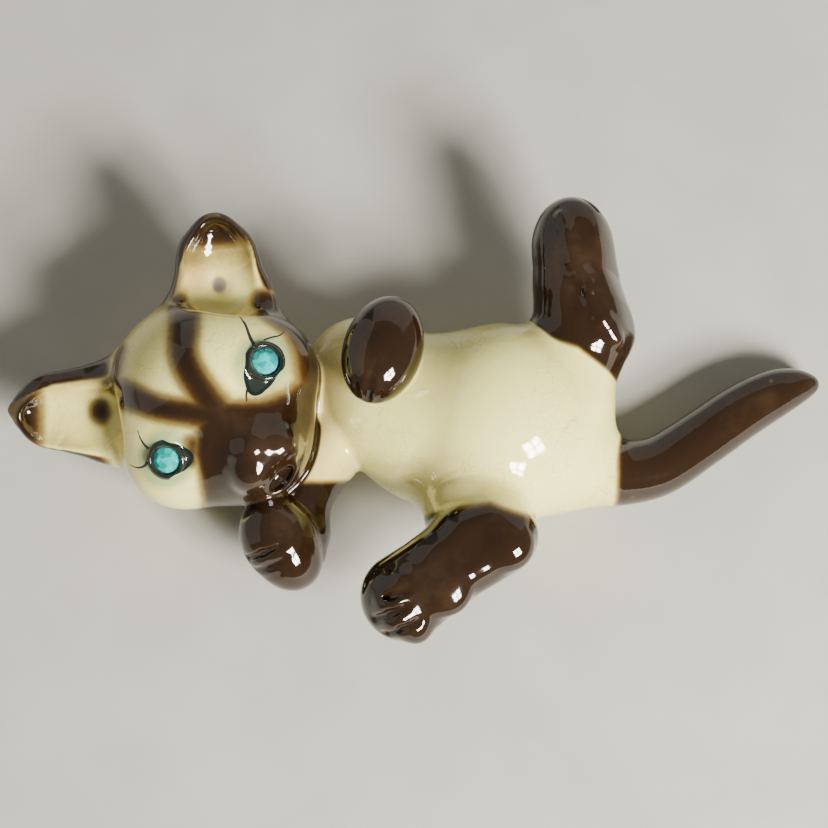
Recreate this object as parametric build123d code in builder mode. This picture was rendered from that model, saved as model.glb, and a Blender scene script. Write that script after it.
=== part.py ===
"""Glazed ceramic kitten figurine lying on its back, with set glass stones for eyes.

The figurine is slip-cast as separate pieces (a hollow torso, a hollow head with its ears, four legs and a
tail) that are luted together before firing. Two foil-backed stones are cemented into sockets in the fired head.

Frame: millimetres, +Z up. The origin is the centre of the flat ground on the torso's back, which rests on
the table. The belly faces +Z, the head lies towards -X, the tail towards +X, and the cat's left is +Y.
"""

import math
import os

from build123d import *

# ---------------------------------------------------------------- driving dimensions
WALL = 3.8  # slip-cast wall of the torso and the head
BACK_LIFT = 1.0  # the torso's hollow stands this much higher, so that grinding leaves a full wall
GROUND = 0.0  # height of the table, to which the torso and the head are ground flat
HOLLOW_LENGTH = 0.93  # share of the torso's stations' length that its hollow's stations keep
VENT_RADIUS = 1.5  # firing vent through the torso's back
VENT_AT = (13.0, 0.0)
NECK_VENT_RADIUS = 2.5  # passage between the torso's hollow and the head's

STONE_RADIUS = 3.2  # a 6.4 mm stone
CROWN_HEIGHT = 1.1
TABLE_RADIUS = 2.0
PAVILION_DEPTH = 2.2
GIRDLE_HEIGHT = 0.25
FOIL = 0.12  # thickness of the foil behind a stone
SOCKET_RADIUS = 3.75
SOCKET_DEPTH = 3.0
FACETS = 8

# ---------------------------------------------------------------- frames
HEAD_CENTRE = (-72.1, 1.2, 23.6)
FACE_TILT = 18.0  # degrees that the face leans from straight up towards -Y
FACE_TURN = 45.0  # degrees that the crown is turned from +Y towards -X

tilt = math.radians(FACE_TILT)
turn = math.radians(FACE_TURN)
face_normal = Vector(0, -math.sin(tilt), math.cos(tilt))
face_right = Vector(
    math.cos(turn), math.sin(turn) * math.cos(tilt), math.sin(turn) * math.sin(tilt)
)
# Local x runs to the cat's left, local y to its crown and local z out of its face.
face = Plane(origin=HEAD_CENTRE, x_dir=face_right, z_dir=face_normal)


# ---------------------------------------------------------------- helpers
def egg(frame, centre, semi, spin=0.0):
    """An ellipsoid with its centre and semi-axes given in a frame, turned about the frame's z."""
    place = frame * Pos(*centre) * Rot(0, 0, spin)
    return place * scale(Sphere(1, mode=Mode.PRIVATE), by=semi, mode=Mode.PRIVATE)


def ring_plane(before, here, after, across):
    """The plane at a station of a limb, square to the limb's run, with x as near across as it can be."""
    run = (Vector(*after) - Vector(*before)).normalized()
    side = Vector(*across)
    side = (side - run * side.dot(run)).normalized()
    return Plane(origin=here, x_dir=side, z_dir=run)


def limb(stations, across=(1, 0, 0)):
    """A lofted limb through elliptical stations (x, y, z, half width, half thickness)."""
    points = [s[:3] for s in stations]
    last = len(points) - 1
    with BuildPart() as made:
        for i, (x, y, z, wide, thick) in enumerate(stations):
            plane = ring_plane(
                points[max(i - 1, 0)], (x, y, z), points[min(i + 1, last)], across
            )
            with BuildSketch(plane):
                Ellipse(wide, thick)
        loft()
    return made.part


def barrel(stations):
    """A loft along X through elliptical stations (x, y, z, half width in Y, half height in Z)."""
    with BuildPart() as made:
        for x, y, z, wide, high in stations:
            with BuildSketch(Plane(origin=(x, y, z), x_dir=(0, 1, 0), z_dir=(1, 0, 0))):
                Ellipse(wide, high)
        loft()
    return made.part


def frustum(low_z, low_radius, high_z, high_radius, spin):
    """A facetted frustum about local z, for one ring of a stone's facets."""
    with BuildPart() as made:
        with BuildSketch(Plane.XY.offset(low_z)):
            RegularPolygon(low_radius, FACETS, rotation=spin)
        with BuildSketch(Plane.XY.offset(high_z)):
            RegularPolygon(high_radius, FACETS, rotation=spin)
        loft()
    return made.part


def half_space_below(height):
    """A large block whose top lies at a height, for grinding a flat."""
    return Pos(0, 0, height - 50) * Box(400, 400, 100, mode=Mode.PRIVATE)


# ---------------------------------------------------------------- torso
torso_stations = [
    (-50.0, 6.2, 21.5, 15.0, 13.5),
    (-44.5, 5.8, 21.0, 18.0, 16.5),
    (-33.0, 5.6, 21.0, 19.4, 18.5),
    (-21.5, 3.6, 21.3, 20.6, 20.4),
    (-8.7, 0.8, 21.5, 23.0, 22.8),
    (4.1, 0.0, 21.5, 25.0, 23.6),
    (14.3, -0.4, 20.6, 22.8, 21.4),
    (22.0, -2.6, 18.6, 18.2, 17.0),
    (27.2, -5.0, 16.4, 12.6, 11.6),
    (29.6, -6.6, 15.4, 7.6, 7.0),
]
torso_outside = barrel(torso_stations)
torso_hollow = barrel(
    [
        (x * HOLLOW_LENGTH, y, z + BACK_LIFT, a - WALL, b - WALL - BACK_LIFT)
        for x, y, z, a, b in torso_stations[1:-1]
    ]
)

# ---------------------------------------------------------------- head
skull = egg(face, (0, 4, -0.6), (25, 27, 25))
cheeks = [egg(face, (side * 11, 0, 2), (17, 16.5, 17.5)) for side in (-1, 1)]
muzzle = egg(face, (0, -15.5, 12), (13.5, 11.5, 14.5))
head_hollow = egg(face, (0, 3, -0.4), (20.5, 21.5, 18.8))

# An ear is a tapering scoop that leans out from the crown.
EAR_ROOT = (16, 16, -2)
EAR_TIP = (35.0, 37.4, -0.5)
EAR_RIM = 2.2  # width of the rim round the scoop
EAR_LIFT = 5.5  # how far the scoop stands forward of the ear's middle
EAR_STEPS = ((0.0, 14.0, 8.0), (0.3, 12.6, 6.6), (0.6, 8.8, 4.8), (0.85, 4.4, 2.8), (1.0, 1.2, 1.0))


def ear(side, shrink, lift):
    """An ear's outside, or the scoop in its front when shrunk and lifted."""
    root = Vector(side * EAR_ROOT[0], EAR_ROOT[1], EAR_ROOT[2] + lift)
    tip = Vector(side * EAR_TIP[0], EAR_TIP[1], EAR_TIP[2] + lift)
    run = (tip - root).normalized()
    width_way = Vector(run.Y, -run.X, 0)
    with BuildPart() as made:
        for share, wide, thick in EAR_STEPS:
            at = root + (tip - root) * (share * (0.9 if shrink else 1.0))
            with BuildSketch(Plane(origin=at, x_dir=width_way, z_dir=run)):
                Ellipse(max(wide - shrink, 0.6), max(thick - shrink * 0.3, 0.5))
        loft()
    return face * made.part


SIDES = {"right": -1, "left": 1}
ears = [ear(side, 0, 0) for side in SIDES.values()]
ear_scoops = [ear(side, EAR_RIM, EAR_LIFT) for side in SIDES.values()]

# ---------------------------------------------------------------- limbs, before they are fitted to the torso
left_foreleg_whole = limb(
    [
        (-33.0, 13.5, 20.0, 8.0, 11.0),
        (-32.4, 12.4, 32.0, 9.0, 12.2),
        (-31.6, 11.2, 41.0, 9.4, 12.8),
        (-31.0, 10.4, 46.5, 9.2, 12.6),
        (-30.8, 10.0, 50.0, 7.6, 10.6),
        (-30.7, 9.8, 52.2, 4.4, 6.4),
        (-30.6, 9.7, 53.0, 1.6, 2.4),
    ],
    across=(0.96, -0.28, 0),
)
right_forearm_whole = limb(
    [
        (-42.0, -6.0, 18.0, 8.0, 7.5),
        (-44.6, -14.0, 17.6, 7.2, 7.0),
        (-47.4, -23.0, 16.4, 6.6, 6.8),
        (-49.4, -31.0, 15.4, 6.0, 6.4),
        (-50.8, -36.6, 15.0, 4.6, 5.0),
        (-51.6, -39.6, 15.0, 1.6, 2.0),
    ]
)
right_paw_whole = limb(
    [
        (-62.2, -22.4, 26.4, 2.0, 1.8),
        (-60.8, -25.0, 26.0, 6.2, 5.2),
        (-58.6, -29.0, 25.0, 8.6, 7.2),
        (-55.8, -34.2, 23.4, 9.0, 8.0),
        (-53.2, -39.6, 21.0, 7.8, 7.2),
        (-51.6, -43.2, 19.2, 5.0, 4.8),
        (-50.8, -45.0, 18.4, 1.6, 1.6),
    ]
)
left_hind_whole = limb(
    [
        (18.0, 4.0, 23.0, 12.5, 11.5),
        (20.6, 13.0, 26.0, 12.0, 11.0),
        (20.4, 24.0, 30.0, 11.6, 10.0),
        (18.8, 33.5, 33.2, 10.8, 9.2),
        (17.6, 43.0, 35.8, 9.4, 8.2),
        (17.3, 49.0, 37.4, 7.0, 6.4),
        (17.4, 52.6, 38.2, 4.0, 3.8),
        (17.5, 54.2, 38.6, 1.4, 1.4),
    ]
)
right_thigh_whole = limb(
    [
        (-2.0, -8.0, 22.0, 17.0, 14.0),
        (-3.4, -17.0, 24.0, 15.6, 13.0),
        (-4.4, -25.0, 27.0, 14.0, 11.5),
        (-4.8, -31.5, 30.0, 12.0, 9.6),
        (-5.0, -36.5, 32.0, 8.0, 6.4),
    ]
)
right_foot_whole = limb(
    [
        (6.4, -33.6, 40.0, 2.0, 2.0),
        (4.6, -34.8, 40.0, 6.0, 5.6),
        (0.4, -37.0, 40.0, 9.4, 8.0),
        (-9.0, -42.0, 39.0, 9.6, 8.2),
        (-19.0, -47.8, 37.2, 9.8, 8.0),
        (-27.0, -52.6, 35.6, 8.8, 7.4),
        (-32.0, -55.8, 34.6, 6.0, 5.4),
        (-34.8, -57.4, 34.2, 2.0, 2.0),
    ],
    across=(0.5, 0.86, 0),
)
tail_whole = limb(
    [
        (20.0, -9.0, 14.6, 8.6, 9.6),
        (29.0, -11.4, 12.6, 7.9, 8.6),
        (36.0, -11.2, 10.6, 7.4, 7.8),
        (43.6, -8.0, 9.0, 7.2, 7.4),
        (52.0, -1.6, 8.4, 7.0, 7.2),
        (60.6, 5.2, 8.0, 6.6, 6.8),
        (69.0, 10.4, 7.6, 5.8, 6.0),
        (76.0, 13.2, 7.2, 4.4, 4.6),
        (80.6, 14.2, 7.0, 2.6, 2.8),
        (82.8, 14.5, 7.0, 0.9, 1.0),
    ],
    across=(0, 1, 0),
)
table = half_space_below(GROUND)

# ---------------------------------------------------------------- eye stones, sockets, foils and cement
CULET_RADIUS = 0.15
OVERSIZE = 1.10  # polygons reach past the round girdle that trims them
crown_top = GIRDLE_HEIGHT + CROWN_HEIGHT
crown_main = frustum(GIRDLE_HEIGHT, STONE_RADIUS * OVERSIZE, crown_top, TABLE_RADIUS, 0)
crown_star = frustum(GIRDLE_HEIGHT, STONE_RADIUS * 1.3, crown_top, TABLE_RADIUS * 1.05, 22.5)
pavilion = frustum(-PAVILION_DEPTH, CULET_RADIUS, 0, STONE_RADIUS * OVERSIZE, 22.5)
foil_outside = frustum(
    -PAVILION_DEPTH - FOIL, CULET_RADIUS + FOIL, 0, (STONE_RADIUS + FOIL) * OVERSIZE, 22.5
)

with BuildPart() as blank:
    add(crown_main)
    add(crown_star, mode=Mode.INTERSECT)
    Cylinder(STONE_RADIUS, GIRDLE_HEIGHT, align=(Align.CENTER, Align.CENTER, Align.MIN))
    add(pavilion)
stone_blank = blank.part


def eye_frame(side):
    """The plane of a stone's girdle, looking out of its socket."""
    out = Vector(side * 0.36, 0.0, 0.93).normalized()
    flat = Plane(origin=(side * 17.3, 0.2, 19.0), x_dir=(0, 1, 0), z_dir=out)
    return Plane(face.location * flat.location)


def head_outside():
    """The head before it is hollowed and fitted to the neck."""
    with BuildPart() as made:
        add(skull)
        add(cheeks)
        add(muzzle)
        add(ears)
        add(ear_scoops, mode=Mode.SUBTRACT)
        add(table, mode=Mode.SUBTRACT)
    return made.part


head_solid = head_outside()
os.makedirs("parts", exist_ok=True)


def write(part, name):
    """Labels a finished piece and writes it to its own file."""
    part.label = name
    export_step(part, f"parts/{name}.step")


# ---------------------------------------------------------------- the hollow castings
NECK = Plane(origin=(-50.0, 6.2, 21.5), x_dir=(0, 1, 0), z_dir=(1, 0, 0))
neck_vent = NECK * Cylinder(NECK_VENT_RADIUS, 24, mode=Mode.PRIVATE)

with BuildPart() as torso:
    add(torso_outside)
    add(torso_hollow, mode=Mode.SUBTRACT)
    add(table, mode=Mode.SUBTRACT)
    add(neck_vent, mode=Mode.SUBTRACT)
    with Locations(VENT_AT):
        Cylinder(VENT_RADIUS, 20, mode=Mode.SUBTRACT)
write(torso.part, "torso")

eye_seats = {name: eye_frame(side) for name, side in SIDES.items()}

with BuildPart() as head:
    add(head_solid)
    add(head_hollow, mode=Mode.SUBTRACT)
    add(torso_outside, mode=Mode.SUBTRACT)
    add(neck_vent, mode=Mode.SUBTRACT)
    for seat in eye_seats.values():
        with Locations(seat.offset(-SOCKET_DEPTH)):
            Cylinder(SOCKET_RADIUS, 12, align=(Align.CENTER, Align.CENTER, Align.MIN), mode=Mode.SUBTRACT)
write(head.part, "head")

# ---------------------------------------------------------------- the solid-cast limbs and tail
with BuildPart() as left_foreleg:
    add(left_foreleg_whole)
    add(torso_outside, mode=Mode.SUBTRACT)
write(left_foreleg.part, "left_foreleg")

with BuildPart() as right_foreleg:
    add(right_forearm_whole)
    add(right_paw_whole)
    add(torso_outside, mode=Mode.SUBTRACT)
    add(head_solid, mode=Mode.SUBTRACT)
write(right_foreleg.part, "right_foreleg")

with BuildPart() as left_hind_leg:
    add(left_hind_whole)
    add(torso_outside, mode=Mode.SUBTRACT)
write(left_hind_leg.part, "left_hind_leg")

with BuildPart() as right_hind_leg:
    add(right_thigh_whole)
    add(right_foot_whole)
    add(torso_outside, mode=Mode.SUBTRACT)
write(right_hind_leg.part, "right_hind_leg")

with BuildPart() as tail:
    add(tail_whole)
    add(torso_outside, mode=Mode.SUBTRACT)
write(tail.part, "tail")

# ---------------------------------------------------------------- the eyes
for name, seat in eye_seats.items():
    with BuildPart() as stone:
        with Locations((0, 0, -PAVILION_DEPTH)):
            Cylinder(
                STONE_RADIUS,
                PAVILION_DEPTH + GIRDLE_HEIGHT + CROWN_HEIGHT,
                align=(Align.CENTER, Align.CENTER, Align.MIN),
            )
        add(stone_blank, mode=Mode.INTERSECT)

    with BuildPart() as foil:
        add(foil_outside)
        with Locations((0, 0, -PAVILION_DEPTH - FOIL)):
            Cylinder(
                STONE_RADIUS + FOIL,
                PAVILION_DEPTH + FOIL,
                align=(Align.CENTER, Align.CENTER, Align.MIN),
                mode=Mode.INTERSECT,
            )
        add(stone.part, mode=Mode.SUBTRACT)

    with BuildPart() as cement:
        with Locations((0, 0, -SOCKET_DEPTH)):
            Cylinder(SOCKET_RADIUS, SOCKET_DEPTH, align=(Align.CENTER, Align.CENTER, Align.MIN))
        add(foil.part, mode=Mode.SUBTRACT)
        add(stone.part, mode=Mode.SUBTRACT)

    write(seat * stone.part, f"{name}_eye_stone")
    write(seat * foil.part, f"{name}_eye_foil")
    write(seat * cement.part, f"{name}_eye_cement")
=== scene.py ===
"""Looks of a glazed ceramic kitten that lies on its back.

The skin is sculpted as one smooth distance field, so that the glaze runs over the joints as it does on the
fired piece. It is meshed, and then cut at the luting lines into one closed piece for each casting. The CAD
stones, foils and cement stay, with better materials.

The field works in millimetres, in the CAD frame. Meshes are made in metres.
"""

import math

import bpy
import numpy as np
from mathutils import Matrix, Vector


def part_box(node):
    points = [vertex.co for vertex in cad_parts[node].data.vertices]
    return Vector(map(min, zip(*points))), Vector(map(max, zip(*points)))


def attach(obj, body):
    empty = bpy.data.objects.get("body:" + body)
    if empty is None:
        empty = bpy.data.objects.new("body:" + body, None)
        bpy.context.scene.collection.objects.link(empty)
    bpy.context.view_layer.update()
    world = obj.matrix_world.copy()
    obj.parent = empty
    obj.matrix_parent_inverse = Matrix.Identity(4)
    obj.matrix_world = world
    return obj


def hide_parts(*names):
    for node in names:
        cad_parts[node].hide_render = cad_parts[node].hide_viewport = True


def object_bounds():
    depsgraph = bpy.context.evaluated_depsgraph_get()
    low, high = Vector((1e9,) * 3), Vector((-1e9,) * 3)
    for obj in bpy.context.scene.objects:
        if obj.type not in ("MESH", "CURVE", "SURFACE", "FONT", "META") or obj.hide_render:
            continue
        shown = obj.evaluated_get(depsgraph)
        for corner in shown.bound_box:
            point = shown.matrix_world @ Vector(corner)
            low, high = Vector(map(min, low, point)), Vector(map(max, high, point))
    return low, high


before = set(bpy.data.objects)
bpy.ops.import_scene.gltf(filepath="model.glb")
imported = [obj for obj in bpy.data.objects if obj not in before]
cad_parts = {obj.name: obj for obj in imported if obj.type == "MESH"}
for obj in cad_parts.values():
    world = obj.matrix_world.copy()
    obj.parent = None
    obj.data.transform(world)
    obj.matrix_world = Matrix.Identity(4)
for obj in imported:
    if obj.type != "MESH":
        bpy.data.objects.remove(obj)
cad_low, cad_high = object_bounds()

MM = 0.001
STEP = 0.5  # mesh spacing of the skin, mm
COARSE = 4  # the field is first sampled this many steps apart, to find where the skin is
SUNK = 9.0  # how far a cap's hub is sunk along its loop's mean normal, mm
ROOM = 8.0  # space round the CAD box for the skin, mm
SURE = 6.0  # a block whose centre reads more steps than this is taken not to touch the skin
NECK_END = -40.0  # the head is cut off only at a smaller X than this, mm
OUTSIDE = 5.0  # any value on a cut's far side
TINY = 1e-4  # keeps a vertex from lying exactly on a cut
FLAT_HEIGHT = 0.00012  # a vertex lower than this lies in a ground flat, m

# ---------------------------------------------------------------- places taken from the frame
FACE_TILT = math.radians(18)
SOCKET_RADIUS = 3.8
SOCKET_DEPTH = 3.0
STONE_OUT = (0.36, 0.0, 0.93)  # how a stone looks out of the face, on the cat's left
STONE_AT = (17.3, 0.2, 19.0)  # its girdle in the head's frame


def middle(node):
    """The centre of a CAD node's box, in mm."""
    low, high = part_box(node)
    return (np.array(low) + np.array(high)) / 2 / MM


def unit(v):
    """A vector at length 1."""
    return np.array(v, float) / np.linalg.norm(v)


# The face's axes: right to the cat's left, up to its crown, and out of the face.
out_axis = np.array([0.0, -math.sin(FACE_TILT), math.cos(FACE_TILT)])
right_axis = middle("left_eye_stone") - middle("right_eye_stone")
right_axis = unit(right_axis - out_axis * (right_axis @ out_axis))
up_axis = np.cross(out_axis, right_axis)
FACE = np.stack([right_axis, up_axis, out_axis], 1)
eyes_middle = (middle("left_eye_stone") + middle("right_eye_stone")) / 2
HEAD = eyes_middle - FACE @ np.array([0.0, STONE_AT[1], STONE_AT[2] - 0.4])


# ---------------------------------------------------------------- distance fields
def blend(a, b, k):
    """The union of two fields with a fillet of about k."""
    h = np.clip(0.5 + 0.5 * (b - a) / k, 0, 1)
    return b + (a - b) * h - k * h * (1 - h)


def carve(a, b, k):
    """Field a with b cut out of it, and the edge rounded by about k."""
    return -blend(-a, b, k)


def turn_z(degrees):
    """Axes turned about Z, as columns."""
    c, s = math.cos(math.radians(degrees)), math.sin(math.radians(degrees))
    return np.array([[c, -s, 0], [s, c, 0], [0, 0, 1]])


def axes(along, up):
    """Axes as columns: x along the first direction, z as near the second as it can be."""
    x = unit(along)
    z = unit(np.array(up, float) - x * (x @ np.array(up, float)))
    return np.stack([x, np.cross(z, x), z], 1)


def egg(p, centre, semi, turned=None):
    """An ellipsoid."""
    q = p - np.array(centre, float)
    if turned is not None:
        q = q @ turned
    s = np.array(semi, float)
    k0 = np.sqrt(((q / s) ** 2).sum(1))
    k1 = np.sqrt(((q / (s * s)) ** 2).sum(1)) + 1e-9
    return k0 * (k0 - 1) / k1


def rope(p, stations, squash=None, turned=None):
    """A round limb through stations (x, y, z, radius), or a flattened one when squashed along turned axes."""
    pts = np.array([s[:3] for s in stations], float)
    radii = np.array([s[3] for s in stations], float)
    if turned is not None:
        pts = pts @ turned * np.array(squash)
        p = p @ turned * np.array(squash)
    best = None
    for a, b, ra, rb in zip(pts[:-1], pts[1:], radii[:-1], radii[1:]):
        ab = b - a
        t = np.clip(((p - a) @ ab) / (ab @ ab), 0, 1)
        d = np.linalg.norm(p - a - t[:, None] * ab, axis=1) - (ra + (rb - ra) * t)
        best = d if best is None else blend(best, d, 1.0)
    return best


def smooth_route(stations, per_span=5):
    """More stations on a Catmull-Rom curve through the given ones."""
    s = np.array(stations, float)
    s = np.vstack([2 * s[0] - s[1], s, 2 * s[-1] - s[-2]])
    rows = []
    for i in range(1, len(s) - 2):
        for t in np.arange(per_span) / per_span:
            a, b, c, d = s[i - 1 : i + 3]
            straight = 2 * b + (c - a) * t
            rows.append(0.5 * (straight + (2 * a - 5 * b + 4 * c - d) * t**2 + (3 * b - a - 3 * c + d) * t**3))
    rows.append(s[-2])
    return rows


def raised(flat, field, start=40.0):
    """Points (u, v) of a plane, each lowered from a start height to the surface below it."""
    q = np.column_stack([flat, np.full(len(flat), start)])
    for _ in range(40):
        q[:, 2] -= field(q) * 0.8
    return q


# A frame that leans back with the face: across, up the figurine's far side, and out. The legs' soles and the
# lines where their brown starts are drawn in it.
LEAN = np.stack([np.array([1.0, 0, 0]), np.array([0, math.cos(FACE_TILT), math.sin(FACE_TILT)]), out_axis], 1)


# ---------------------------------------------------------------- the body's forms
def torso(p):
    """The body and the neck stump."""
    d = egg(p, (-0.4, -0.8, 21.3), (26.2, 25.4, 23.8))
    d = blend(d, egg(p, (-27.5, 5.0, 18.6), (19.5, 18.4, 18.0)), 10)
    d = blend(d, egg(p, (12.4, -5.0, 16.6), (13.6, 17.4, 15.0)), 7)
    d = blend(d, egg(p, (-21.0, -4.4, 17.0), (14.0, 15.6, 14.6)), 8)
    d = blend(d, egg(p, (-37.0, 14.4, 16.6), (14.0, 14.2, 12.6)), 8)
    d = blend(d, rope(p, [(-44, 5, 11.6, 11.4), (-60, 3, 14, 11.4)]), 5)
    return d


def left_foreleg(p):
    """The raised forepaw, with three toe grooves."""
    arm = rope(p, [(-32, 13.5, 20, 8.0), (-31.4, 12.6, 34, 8.0), (-31.2, 11.6, 41, 7.6)])
    long_way = turn_z(74)
    paw_at = np.array([-30.8, 10.8, 43.6])
    d = blend(arm, egg(p, paw_at, (14.2, 10.0, 8.8), long_way), 3)
    q = (p - paw_at) @ long_way
    for shift in (-4.4, 0.0, 4.2):
        line = [
            (-14.4, shift * 0.7, 1.5, 0.9),
            (-12.2, shift, 5.2, 1.0),
            (-8.6, shift * 1.05, 7.8, 0.6),
            (-5.4, shift * 1.1, 9.0, 0.2),
        ]
        d = carve(d, rope(q, line), 1.1)
    return d


def right_foreleg(p):
    """The forepaw folded beside the chin, with three toe grooves."""
    arm = rope(
        p,
        [
            (-42, -4, 17, 9.0),
            (-48.4, -13, 17, 8.2),
            (-51.6, -21, 17, 7.4),
            (-51.4, -29, 15.4, 7.0),
            (-51.2, -33, 14, 6.0),
        ],
    )
    along = (10.6, -19.5, -7.2)
    tilted = axes(along, (0.2, -0.2, 1))
    paw = egg(p, (-57.0, -32.4, 22.8), (12.0, 9.6, 8.4), tilted)
    paw = blend(paw, egg(p, (-53.4, -37.8, 19.0), (7.0, 6.8, 7.0)), 3)
    d = blend(arm, paw, 1.6)
    q = (p - np.array([-57.0, -32.4, 22.8])) @ tilted
    for along_paw in (0.5, 4.3, 7.8):
        line = [
            (along_paw, -9.4, 1.0, 0.6),
            (along_paw + 0.4, -6.4, 5.8, 0.7),
            (along_paw + 0.6, -1.5, 8.3, 0.2),
        ]
        d = carve(d, rope(q, line), 1.4)
    return d


def left_leg_form(p):
    """The raised hind leg without the ridge on its sole."""
    leg = rope(p, [(16, 6, 22, 12.5), (18.5, 20, 27, 11.0), (18, 33, 31.5, 10.4), (17.2, 42.0, 34.5, 9.6)])
    foot = rope(
        p,
        [
            (23.8, 11.6, 20.0, 5.2),
            (25.2, 21.6, 28.2, 9.6),
            (20.8, 32, 31.8, 10.2),
            (18.4, 42.4, 35.3, 10.2),
            (17.4, 45.6, 36.4, 8.8),
        ],
    )
    d = blend(leg, foot, 3)
    # The sole is pressed nearly flat.
    sole_out = unit((0.90, -0.12, 0.42))
    bend = np.interp(p[:, 1], [10, 20, 27, 34, 42, 50, 56], [3.0, 4.6, 3.4, 1.0, 0.6, -0.6, -2.4])
    sole = (p - np.array([27.0, 30.0, 34.5])) @ sole_out - bend
    return -blend(-d, -sole, 2.6)


SOLE_RIDGE = raised(
    [(14.6, 57.5), (15.8, 53.3), (17.3, 46.5), (21.4, 39.3), (24.4, 31.7), (28.3, 26.6)],
    lambda q: left_leg_form(q @ LEAN.T),
    60.0,
)


def left_hind_leg(p):
    """The raised hind leg, with the ridge, dimples and toe grooves of its sole."""
    d = left_leg_form(p)
    q = p @ LEAN
    ridge = [(x, w, n - 0.7, r) for (x, w, n), r in zip(SOLE_RIDGE, (1.0, 1.6, 1.5, 1.7, 1.9, 1.4))]
    d = blend(d, rope(q, ridge), 2.4)
    for k, (dx, dw, r) in enumerate(((4.6, 1.0, 2.6), (5.2, 2.4, 2.8), (-4.6, -2.4, 2.4))):
        x, w, n = SOLE_RIDGE[k + 1]
        d = carve(d, egg(q, (x + dx, w + dw, n + 1.6), (r, 3.8, 2.2)), 2.4)
    for y, z in ((52.6, 41.0), (51.0, 36.8)):
        line = [(23.5, y - 3.5, z, 0.3), (21.2, y, z + 0.6, 0.6), (17.5, y + 1.8, z + 1.0, 0.3)]
        d = carve(d, rope(p, line), 1.2)
    return d


def right_leg_form(p):
    """The folded hind leg without its pads."""
    thigh = rope(p, [(-5, -6, 20, 17), (-7, -19, 23, 15.4), (-7.4, -27, 27.5, 13.2), (-7.6, -33, 31.5, 10.6)])
    foot = rope(
        p,
        [
            (-2.4, -35.6, 37.6, 10.0),
            (-9.0, -39.0, 37.2, 10.2),
            (-16.4, -43.8, 35.8, 10.2),
            (-25.2, -50.0, 33.8, 11.0),
        ],
        (1, 1, 1.12),
        np.eye(3),
    )
    d = blend(thigh, foot, 6)
    return carve(d, egg(p, (-9.0, -42.0, 50.4), (8.5, 5.4, 4.6), turn_z(30)), 5)


# The sole's pads as (across, up, radius, height): the main pad, four toes and the heel.
SOLE_PADS = (
    (-15.0, -35.6, 5.6, 1.3),
    (-25.6, -33.6, 3.2, 1.0),
    (-28.6, -38.0, 3.1, 1.0),
    (-26.6, -42.4, 3.1, 1.0),
    (-22.4, -45.0, 3.1, 0.9),
    (0.4, -24.6, 5.4, 0.8),
)
PADS_AT = raised([pad[:2] for pad in SOLE_PADS], lambda q: right_leg_form(q @ LEAN.T), 60.0)


def right_hind_leg(p):
    """The folded hind leg, with the pads and toe grooves of its sole."""
    d = right_leg_form(p)
    q = p @ LEAN
    for (x, w, n), (_, _, r, height) in zip(PADS_AT, SOLE_PADS):
        d = blend(d, egg(q, (x, w, n + height * 0.7 - 3.2), (r, r, 3.2)), 3.0)
    for a, b in zip(PADS_AT[1:4], PADS_AT[2:5]):
        x, w, n = (a + b) / 2
        line = [
            (x + 2.4, w + 1.0, n + 1.0, 0.4),
            (x - 1.5, w - 0.6, n + 0.5, 0.7),
            (x - 5.0, w - 2.0, n - 3.4, 0.5),
        ]
        d = carve(d, rope(q, line), 1.8)
    return d


TAIL = smooth_route(
    [
        (18.0, -9.0, 15.0, 10.2),
        (24.9, -11.4, 13.6, 8.8),
        (31.5, -11.6, 11.6, 8.0),
        (40.7, -9.1, 9.6, 7.5),
        (51.5, -1.8, 8.4, 7.2),
        (62.3, 5.9, 8.0, 6.9),
        (71.0, 11.0, 7.4, 6.1),
        (77.2, 13.4, 6.8, 4.4),
        (81.6, 14.2, 6.6, 2.0),
    ]
)


def tail(p):
    """The tail, along its route."""
    return rope(p, TAIL)


# ---------------------------------------------------------------- the head
EAR_ROOT = np.array([16.6, 16.4, -3.0])
EAR_TIPS = {1: np.array([33.8, 37.4, -1.0]), -1: np.array([38.6, 39.0, -1.0])}


def ear_frame(side):
    """An ear's root, its length and its axes (along it, across it, out of the face) in the mirrored face."""
    run = EAR_TIPS[side] - EAR_ROOT
    return np.linalg.norm(run), axes(run, (0, 0, 1))


def ear_scoop(s, length, side):
    """The hollow in an ear's front, in the ear's own axes. The right one opens a little outwards."""
    off, r = (-0.7, 9.8) if side > 0 else (-2.6, 8.8)
    stations = [
        (9.0, off, 6.6, r),
        (length - 11.5, off, 4.4, r - 1.6),
        (length - 6.4 + off * 0.5, off * 0.8, 2.6, r - 4.8),
        (length - 3.8 + off * 0.8, off * 0.3, 1.6, 2.0),
    ]
    return rope(s, stations, (1, 1, 1.25), np.eye(3)) * 0.85


def ears(q, d):
    """Adds both ears to the head's field, with their scoops."""
    for side in (1, -1):
        length, turned = ear_frame(side)
        s = (q * np.array([side, 1, 1]) - EAR_ROOT) @ turned
        tip = 3.0 if side > 0 else 1.8
        leaf = [
            (0, 0, 0, 14.6),
            (3.7, 0, 0, 13.8),
            (length - 11.5, 0, 0, 10.6 if side > 0 else 9.8),
            (length - 6.0, 0, 0, tip + 3.6),
            (length - tip, 0, 0, tip),
        ]
        d = blend(d, rope(s, leaf, (1, 1, 1.9), np.eye(3)) * 0.72, 5.0)
    for side in (1, -1):
        length, turned = ear_frame(side)
        s = (q * np.array([side, 1, 1]) - EAR_ROOT) @ turned
        d = carve(d, ear_scoop(s, length, side), 1.3 + 3.0 * np.clip((12 - s[:, 0]) / 8, 0, 1))
        if side > 0:
            d = carve(d, egg(s, (9.2, 0.2, -0.3), (2.3, 2.1, 1.3)), 2.4)
    return d


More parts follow.
